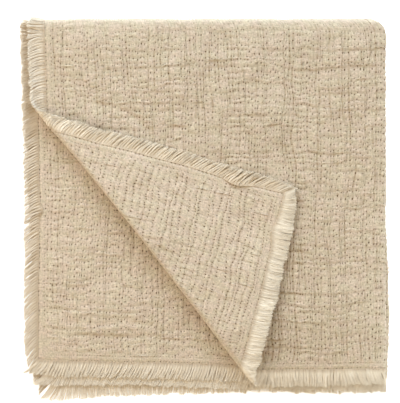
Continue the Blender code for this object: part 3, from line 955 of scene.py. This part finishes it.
def fringeTree(material):
    # strands of frayed yarn on the guide band: along it by their number, out over it by their length
    tree = bpy.data.node_groups.new("frayedEdge", "GeometryNodeTree")
    inputs = [("band", "Geometry"), ("strands", "Int"), ("seed", "Int"), ("sideLength", "Float")]
    for name, kind in inputs + [(name, "Float") for name in treeSizes]:
        tree.interface.new_socket(name, in_out="INPUT", socket_type="NodeSocket" + kind)
    tree.interface.new_socket("fringe", in_out="OUTPUT", socket_type="NodeSocketGeometry")
    given = tree.nodes.new("NodeGroupInput").outputs

    def times(*values):
        return chained(tree, "MULTIPLY", values)

    def plus(*values):
        return chained(tree, "ADD", values)

    def minus(value, other):
        return calc(tree, "SUBTRACT", value, other)

    def power(value, exponent):
        return calc(tree, "POWER", value, exponent)

    def chanceOf(low, high, key, shift):
        values = {2: low, 3: high, "ID": key, "Seed": plus(given["seed"], shift)}
        return addNode(tree, "FunctionNodeRandomValue", values, data_type="FLOAT").outputs[1]

    def readValue(name, kind="FLOAT"):
        return fromNode(tree, "GeometryNodeInputNamedAttribute", {"Name": name}, data_type=kind)

    def fromBand(value, place, kind="FLOAT"):
        values = {"Mesh": given["band"], "Value": value, "Sample UV": place}
        values[2] = readValue("wayAlong", "FLOAT_VECTOR")
        return fromNode(tree, "GeometryNodeSampleUVSurface", values, data_type=kind)

    def storeValue(geometry, name, value):
        values = {"Geometry": geometry, "Name": name, "Value": value}
        return fromNode(tree, "GeometryNodeStoreNamedAttribute", values)

    line = fromNode(tree, "GeometryNodeCurvePrimitiveLine", {"End": (0, 0, 1)})
    values = {"Curve": line, "Count": fringe["linePoints"]}
    line = fromNode(tree, "GeometryNodeResampleCurve", values)
    line = storeValue(line, "alongStrand", tree.nodes.new("GeometryNodeSplineParameter").outputs["Factor"])
    values = {"Geometry": line, "Amount": given["strands"]}
    strands = addNode(tree, "GeometryNodeDuplicateElements", values, domain="SPLINE")
    number = strands.outputs["Duplicate Index"]
    t = readValue("alongStrand")
    pitch = calc(tree, "DIVIDE", given["sideLength"], given["strands"])
    root = times(plus(number, chanceOf(0.0, 1.0, number, 2)), pitch)
    atRoot = fromNode(tree, "ShaderNodeCombineXYZ", {"X": root})
    lean, fan, bow, kept, curl, ear, droop, share, gather, ruffle, paintedShading = (
        fromBand(readValue(name), atRoot) for name in sideUnits
    )

    def slowNoise(name):
        scale, shift, low, high = slowNoises[name]
        values = {"W": plus(root, given["seed"], shift), "Scale": scale, "Detail": 1.0}
        noise = fromNode(tree, "ShaderNodeTexNoise", values, noise_dimensions="1D")
        return spreadOver(tree, noise, low, high, 0.0, 1.0)

    # which clump a strand is in, and whether it is in its tuft or in the gap beside it
    spot = plus(calc(tree, "DIVIDE", root, given["clumpWidth"]), chanceOf(*fringe["clumpBlur"], number, 3))
    clump = calc(tree, "FLOOR", spot)
    fromMiddle = times(calc(tree, "ABSOLUTE", minus(spot, plus(clump, 0.5))), 2.0)
    middle = times(plus(clump, chanceOf(*fringe["clumpMiddle"], clump, 4)), given["clumpWidth"])
    tuftShare = plus(times(plus(given["tuftShare"], -1.0), gather), 1.0)
    isTuft = calc(tree, "LESS_THAN", fromMiddle, tuftShare)
    gapShade = times(minus(1.0, isTuft), gather)

    # painted shade on the strands in the gaps between the tufts, and painted light and shade by where the
    # fringe lies
    tone = plus(times(gapShade, yarnTone["gapShade"]), yarnTone["start"], paintedShading)
    tone = plus(tone, times(slowNoise("tone"), yarnTone["slow"]))
    tone = plus(tone, times(isTuft, chanceOf(0.0, 1.0, clump, 13), yarnTone["byClump"]))
    tone = calc(tree, "MULTIPLY_ADD", chanceOf(0.0, 1.0, number, 1), yarnTone["byStrand"], tone, clamp=True)
    toned = storeValue(strands.outputs[0], "strandTone", tone)

    # along the side: its root drawn to the tuft, its slant, and its waves
    mess = times(given["mess"], plus(ruffle, times(slowNoise("mess"), gather, fringe["slowMess"])))
    stray = plus(times(given["clumpLean"], gather), mess)
    stray = times(stray, chanceOf(-1.0, 1.0, clump, 5), isTuft)
    strandLean = times(given["strandLean"], plus(times(isTuft, 1 - fringe["gapLean"]), fringe["gapLean"]))
    stray = plus(times(strandLean, chanceOf(-1.0, 1.0, number, 12)), stray)
    lean = plus(fan, lean)
    kept = power(plus(times(lean, lean), 1.0), kept)
    lean = plus(times(lean, kept), stray)
    arch = calc(tree, "SINE", times(t, math.pi))
    slant = times(plus(times(bow, arch), times(lean, power(t, curl))), given["reach"])
    tuftGather = times(gather, isTuft)
    pull = times(given["clumpPull"], power(t, fringe["pullPower"]), tuftGather)
    gathered = plus(times(minus(middle, root), pull), root)
    turns = plus(times(t, fringe["waveTurn"]), chanceOf(0.0, 6.28, clump, 6))
    inTuft = plus(times(tuftGather, 1 - fringe["loneWave"]), fringe["loneWave"])
    messy = plus(times(mess, isTuft, fringe["messyWave"]), 1.0)
    swing = times(calc(tree, "SINE", turns), given["wave"], inTuft)
    swing = times(swing, t, chanceOf(*fringe["waveShare"], number, 7), messy)
    placeAlong = plus(gathered, slant, swing)

    # out from the edge
    inset = plus(times(given["turnIn"], ruffle), given["inset"])
    least, more = fringe["slowLength"]
    length = times(chanceOf(*fringe["clumpLength"], clump, 8), chanceOf(*fringe["strandLength"], number, 9))
    length = times(length, plus(times(slowNoise("length"), more), least), kept, share)
    length = plus(times(length, given["reach"]), inset)
    placeOut = minus(times(length, t), inset)
    spot = fromNode(tree, "ShaderNodeCombineXYZ", {"X": placeAlong, "Y": placeOut})

    # off the band: its place in the fringe's thickness, the ear at the back fold, and what lifts tufts
    spread = times(given["spread"], plus(times(t, fringe["tipSpread"]), fringe["rootSpread"]))
    height = times(spread, chanceOf(-1.0, 1.0, number, 10))
    height = plus(height, times(ear, power(t, fringe["pullPower"])))
    outward = fromBand(readValue("outward", "FLOAT_VECTOR"), spot, "FLOAT_VECTOR")
    isUp = calc(tree, "SIGN", addNode(tree, "ShaderNodeSeparateXYZ", {0: outward}).outputs[2])
    clumpLift = times(given["clumpLift"], chanceOf(*fringe["liftShare"], clump, 14), tuftGather)
    raised = times(plus(clumpLift, times(mess, fringe["messLift"])), arch)
    raised = plus(times(ruffle, fringe["ruffleLift"]), raised)
    raised = plus(times(given["rootLift"], power(minus(1.0, t), 3.0)), raised)
    height = plus(times(raised, isUp), height)
    lift = vectorCalc(tree, "SCALE", {0: outward, "Scale": height})
    onBand = fromBand(tree.nodes.new("GeometryNodeInputPosition").outputs[0], spot, "FLOAT_VECTOR")
    placed = vectorCalc(tree, "ADD", {0: onBand, 1: lift})
    x, y, z = addNode(tree, "ShaderNodeSeparateXYZ", {0: placed}).outputs
    sunk = times(droop, power(t, fringe["sinkPower"]))
    z = calc(tree, "MAXIMUM", minus(z, sunk), given["strandRadius"])
    placed = fromNode(tree, "ShaderNodeCombineXYZ", {0: x, 1: y, 2: z})
    laid = fromNode(tree, "GeometryNodeSetPosition", {"Geometry": toned, "Position": placed})

    taper = plus(times(power(t, 3.0), -fringe["tipTaper"]), 1.0)
    radius = times(taper, chanceOf(*fringe["thickness"], number, 11), given["strandRadius"])
    values = {"Resolution": fringe["sectionCorners"], "Radius": 1.0}
    section = fromNode(tree, "GeometryNodeCurvePrimitiveCircle", values)
    values = {"Curve": laid, "Profile Curve": section, "Scale": radius, "Fill Caps": True}
    tubes = fromNode(tree, "GeometryNodeCurveToMesh", values)
    made = fromNode(tree, "GeometryNodeRealizeInstances", {"Geometry": tubes})
    made = fromNode(tree, "GeometryNodeSetMaterial", {"Geometry": made, "Material": material})
    tree.links.new(made, tree.nodes.new("NodeGroupOutput").inputs[0])
    return tree


def plainMesh(piece, name):
    # the evaluated object's mesh, in place of its modifiers
    graph = bpy.context.evaluated_depsgraph_get()
    evaluated = piece.evaluated_get(graph)
    mesh = bpy.data.meshes.new_from_object(evaluated, preserve_all_data_layers=True, depsgraph=graph)
    mesh.name = name
    piece.modifiers.clear()
    return mesh


strandMap = {"start": 0.02, "size": 0.95, "faceWidth": 0.006}  # each face of a strand has some room


def addBakeMap(mesh):
    # a strand's colour depends on its tone and the way along it alone, so strands may share their places
    count = len(mesh.vertices)
    values = (mesh.attributes[name].data for name in ("alongStrand", "strandTone"))
    t, tone = (readNumbers(part, "value", count) for part in values)
    corner = np.arange(count) % fringe["sectionCorners"]
    places = strandMap["start"] + strandMap["size"] * np.column_stack((t, tone))
    places = places + strandMap["faceWidth"] * np.column_stack((corner == 1, corner))
    loops = readNumbers(mesh.loops, "vertex_index", len(mesh.loops), np.int32)
    addMap(mesh, "OFBake", places[loops])


def buildFringe(side, tree, seed, offset):
    carrier = addPiece(side["name"], guideBand(side))
    fray = carrier.modifiers.new("frayedEdge", "NODES")
    fray.node_group = tree
    given = {**fringe, "seed": seed, "sideLength": side["length"]}
    for socket in tree.interface.items_tree:
        if socket.name in given:
            fray[socket.identifier] = given[socket.name]
    carrier.data = plainMesh(carrier, side["name"])
    carrier.data.shade_smooth()
    addBakeMap(carrier.data)
    move(carrier.data, offset)
    print(side["name"], triangleCount(carrier.data), "triangles")
    return carrier


clothLook = {
    "outer": (0.576, 0.455, 0.317, 1),
    "inner": (0.624, 0.501, 0.359, 1),
    "rosy": (1.015, 0.99, 1.01, 1),
    "olive": (0.985, 1.006, 0.97, 1),
    # painted shade: the grooves' lines are darkened in colour, as the shade in them
    "groove": (0.33, 0.21, 0.095, 1),
    # painted shade in the pinholes of the tacks and stay stitches
    "pinholeShade": (0.10, 0.047, 0.012, 1),
    "hueScale": 60.0,
    "warp": (560.0, 110.0, 1.0),  # how quickly each noise changes across and along the cut
    "weft": (110.0, 600.0, 1.0),
    "slub": (330.0, 290.0, 1.0),
    "slubShare": 1.6,
    # From and to which value each one spreads, and what it comes to there.
    "hueSpread": (0.35, 0.65, 0.0, 1.0),
    "grainTone": (1.1, 2.5, 0.71, 1.25),
    # painted light and shade: the colour is lighter on the puffs and darker in the hollows between them
    "puffShading": (-0.5, 1.2, 0.90, 1.03),
    "dotSize": (0.0, 1.0, 0.75, 1.25),
    "dotEdge": (0.55, 1.0, 1.0, 0.0),
    "pinholeShadeStrength": (0.3, 0.68, 0.0, 1.0),
    "grooveShadeBreaks": (0.4, 0.6, 0.4, 1.0),
    "dotStretch": (2.8, 2.7, 0.0),  # lattice cells into the halves of a dot
    "grooveShadeStrength": 0.75,
    "markPower": 1.5,  # above 1 faint lines and tacks show less
    "dimple": -0.6,
    "grainHeight": 0.35,
    "bump": {"Strength": 0.8, "Distance": 0.9 * mm},
    "finish": {
        "Roughness": 0.95,
        "Specular IOR Level": 0.2,
        "Sheen Weight": 0.15,
        "Sheen Roughness": 0.6,
        "Sheen Tint": (1.0, 0.93, 0.8, 1),
    },
}


def newMaterial(name, finish):
    material = bpy.data.materials.new(name)
    material.use_nodes = True
    shader = material.node_tree.nodes["Principled BSDF"]
    for socket, value in finish.items():
        shader.inputs[socket].default_value = value
    return material, material.node_tree, shader


def readFac(tree, name):
    return addNode(tree, "ShaderNodeAttribute", attribute_name=name).outputs["Fac"]


def readMap(tree, name):
    return fromNode(tree, "ShaderNodeUVMap", uv_map=name)


def crinkledCotton():
    material, tree, shader = newMaterial("crinkledCotton", clothLook["finish"])
    place = addNode(tree, "ShaderNodeTexCoord").outputs["Object"]
    cut = readMap(tree, "cut")
    tacked, groove, puff, innerSide = (readFac(tree, name) for name in markNames)

    def times(*values):
        return chained(tree, "MULTIPLY", values)

    def spread(value, name):
        return spreadOver(tree, value, *clothLook[name])

    def noise(place, scale, detail):
        values = {"Vector": place, "Scale": scale, "Detail": detail}
        return addNode(tree, "ShaderNodeTexNoise", values).outputs["Fac"]

    def yarnNoise(name, detail):
        values = {"Vector": cut, "Scale": clothLook[name]}
        return noise(fromNode(tree, "ShaderNodeMapping", values), 1.0, detail)

    def dotShape():
        # a small upright dot round each lattice point, of uneven size, where the shade in a pinhole is
        # painted
        spot = readMap(tree, "lattice")
        number = vectorCalc(tree, "FLOOR", {0: vectorCalc(tree, "ADD", {0: spot, 1: (0.5, 0.5, 0.0)})})
        away = vectorCalc(tree, "SUBTRACT", {0: spot, 1: number})
        away = vectorCalc(tree, "MULTIPLY", {0: away, 1: clothLook["dotStretch"]})
        gap = addNode(tree, "ShaderNodeVectorMath", {0: away}, operation="LENGTH").outputs["Value"]
        uneven = addNode(tree, "ShaderNodeTexWhiteNoise", {"Vector": number}).outputs["Value"]
        return spread(calc(tree, "DIVIDE", gap, spread(uneven, "dotSize")), "dotEdge")

    hue = spread(noise(place, clothLook["hueScale"], 2.0), "hueSpread")
    tint = mixColours(tree, hue, clothLook["rosy"], clothLook["olive"])
    colour = mixColours(tree, innerSide, clothLook["outer"], clothLook["inner"])
    colour = mixColours(tree, 1.0, colour, tint, "MULTIPLY")

    slub = yarnNoise("slub", 2.0)
    yarns = calc(tree, "ADD", yarnNoise("warp", 1.0), yarnNoise("weft", 1.0))
    grain = calc(tree, "MULTIPLY_ADD", slub, clothLook["slubShare"], yarns)
    # the yarn's grain, times the painted light and shade of the puffs and hollows
    tone = times(spread(grain, "grainTone"), spread(puff, "puffShading"))
    grey = fromNode(tree, "ShaderNodeCombineColor", {0: tone, 1: tone, 2: tone})
    colour = mixColours(tree, 1.0, colour, grey, "MULTIPLY")
    # painted shade along the grooves, broken up by the slubs
    line = calc(tree, "POWER", groove, clothLook["markPower"])
    line = times(line, clothLook["grooveShadeStrength"], spread(slub, "grooveShadeBreaks"))
    colour = mixColours(tree, line, colour, clothLook["groove"])
    # painted shade in the pinholes, darker at the stronger tacks
    colour = mixColours(tree, times(dotShape(), spread(tacked, "pinholeShadeStrength")), colour, clothLook["pinholeShade"])
    tree.links.new(colour, shader.inputs["Base Color"])

    dimple = times(calc(tree, "POWER", tacked, clothLook["markPower"]), clothLook["dimple"])
    height = calc(tree, "MULTIPLY_ADD", grain, clothLook["grainHeight"], dimple)
    bump = addNode(tree, "ShaderNodeBump", {"Height": height, **clothLook["bump"]})
    tree.links.new(bump.outputs[0], shader.inputs["Normal"])
    return material


fringeLook = {
    "light": (0.99, 0.87, 0.69, 1),
    # the darker end of a strand's tone: the painted shade in the gaps, and darker strands by chance
    "warm": (0.60, 0.44, 0.26, 1),
    # the strands' roots: darker, nearer the cloth's own tone, and partly painted shade where they come out
    # from the cloth's edge
    "root": (0.74, 0.60, 0.43, 1),
    "tip": (0.99, 0.895, 0.73, 1),
    "fromRoot": (0.0, 0.3, 0.0, 1.0),  # along a strand, from and to where each one spreads, and how much
    "toTip": (0.6, 1.0, 0.0, 0.5),
    "finish": {
        "Roughness": 0.9,
        "Specular IOR Level": 0.15,
        "Sheen Weight": 0.2,
        "Sheen Roughness": 0.5,
        "Sheen Tint": (1.0, 0.93, 0.8, 1),
    },
}


def frayedYarn():
    material, tree, shader = newMaterial("frayedYarn", fringeLook["finish"])
    tone, along = readFac(tree, "strandTone"), readFac(tree, "alongStrand")
    colour = mixColours(tree, tone, fringeLook["warm"], fringeLook["light"])
    colour = mixColours(tree, spreadOver(tree, along, *fringeLook["fromRoot"]), fringeLook["root"], colour)
    colour = mixColours(tree, spreadOver(tree, along, *fringeLook["toTip"]), colour, fringeLook["tip"])
    tree.links.new(colour, shader.inputs["Base Color"])
    return material


studio = {
    "floorHalf": 4.0,
    "floorDrop": 0.2 * mm,  # just under the throw
    "paper": {
        "Base Color": (0.95, 0.95, 0.95, 1),
        "Roughness": 1.0,
        "Specular IOR Level": 0.0,
        "Emission Color": (1, 1, 1, 1),
        "Emission Strength": 0.5,
    },
    "skyColour": (1.0, 0.868, 0.67, 1),
    "skyStrength": 0.59,
    "lampTarget": (0, 0.1, 0),
    "sensorWidth": 36.0,
    "cameraHeight": 3.0,  # above the top of the throw, near enough
    "cameraLift": 20 * mm,
    "pictureHeight": 403 * 1.8 * mm,  # what the photo takes in, at 1.8 mm a pixel
    "cameraPlace": (-6.3 * mm, 9.0 * mm),
}
# A long soft light on the far side, a fill from the near left, and low ones behind the two folds.
lamps = {
    "keyLight": {"power": 247.0, "colour": (0.62, 0.78, 1.0), "size": (6.5, 1.4), "place": (0.0, 3.1, 1.6)},
    "fillLight": {"power": 17.0, "colour": (1.0, 0.96, 0.9), "size": (0.8, 0.8), "place": (-2.2, 0.1, 1.0)},
    "frontFill": {"power": 9.0, "colour": (1.0, 0.96, 0.9), "size": (2.0, 0.8), "place": (-0.5, -2.4, 1.2)},
    "backRim": {"power": 0.55, "colour": (0.45, 0.72, 1.0), "size": (1.0, 0.12), "place": (0.0, 0.54, 0.13)},
    "sideRim": {"power": 0.6, "colour": (0.6, 0.8, 1.0), "size": (0.7, 0.12), "place": (0.53, -0.1, 0.13)},
}


def buildStudio(offset):
    floorMesh = bpy.data.meshes.new("studioFloor")
    side, z = studio["floorHalf"], -studio["floorDrop"]
    corners = [(-side, -side, z), (side, -side, z), (side, side, z), (-side, side, z)]
    floorMesh.from_pydata(corners, [], [(0, 1, 2, 3)])
    floor = addPiece("studioFloor", floorMesh)
    floorMesh.materials.append(newMaterial("studioPaper", studio["paper"])[0])

    world = bpy.data.worlds.new("studioSky")
    world.use_nodes = True
    sky = world.node_tree.nodes["Background"]
    sky.inputs["Color"].default_value = studio["skyColour"]
    sky.inputs["Strength"].default_value = studio["skyStrength"]
    bpy.context.scene.world = world

    for name, lamp in lamps.items():
        light = bpy.data.lights.new(name, "AREA")
        light.shape = "RECTANGLE"
        light.size, light.size_y = lamp["size"]
        light.color = lamp["colour"]
        light.energy = lamp["power"]
        holder = addPiece(name, light)
        holder.location = lamp["place"]
        aim = Vector(studio["lampTarget"]) - holder.location
        holder.rotation_euler = aim.to_track_quat("-Z", "Y").to_euler()
        holder.visible_camera = False

    camera = bpy.data.cameras.new("overheadCamera")
    camera.sensor_width = studio["sensorWidth"]
    camera.lens = camera.sensor_width * studio["cameraHeight"] / studio["pictureHeight"]
    view = addPiece("overheadCamera", camera)
    x, y = studio["cameraPlace"]
    view.location = (x + offset[0], y + offset[1], studio["cameraHeight"] + studio["cameraLift"])
    bpy.context.scene.camera = view
    bpy.context.scene.view_settings.view_transform = "Standard"


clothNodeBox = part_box("throw_cloth")
mesh = clothMesh()
print("cloth", triangleCount(mesh), "triangles")
places = vertexPlaces(mesh)
offset = (np.sum(clothNodeBox, 0) - places.min(0) - places.max(0)) / 2 * (1, 1, 0)
print("moved", offset)
move(mesh, offset)
mesh.materials.append(crinkledCotton())
cloth = addPiece("crinkledThrow", mesh)
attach(cloth, "root")
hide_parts("throw_cloth")

yarn = frayedYarn()
tree = fringeTree(yarn)
for seed, side in enumerate(fringeSides):
    strands = buildFringe(side, tree, seed * 100, offset)
    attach(strands, "root")
    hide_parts(side["node"])

buildStudio(offset)
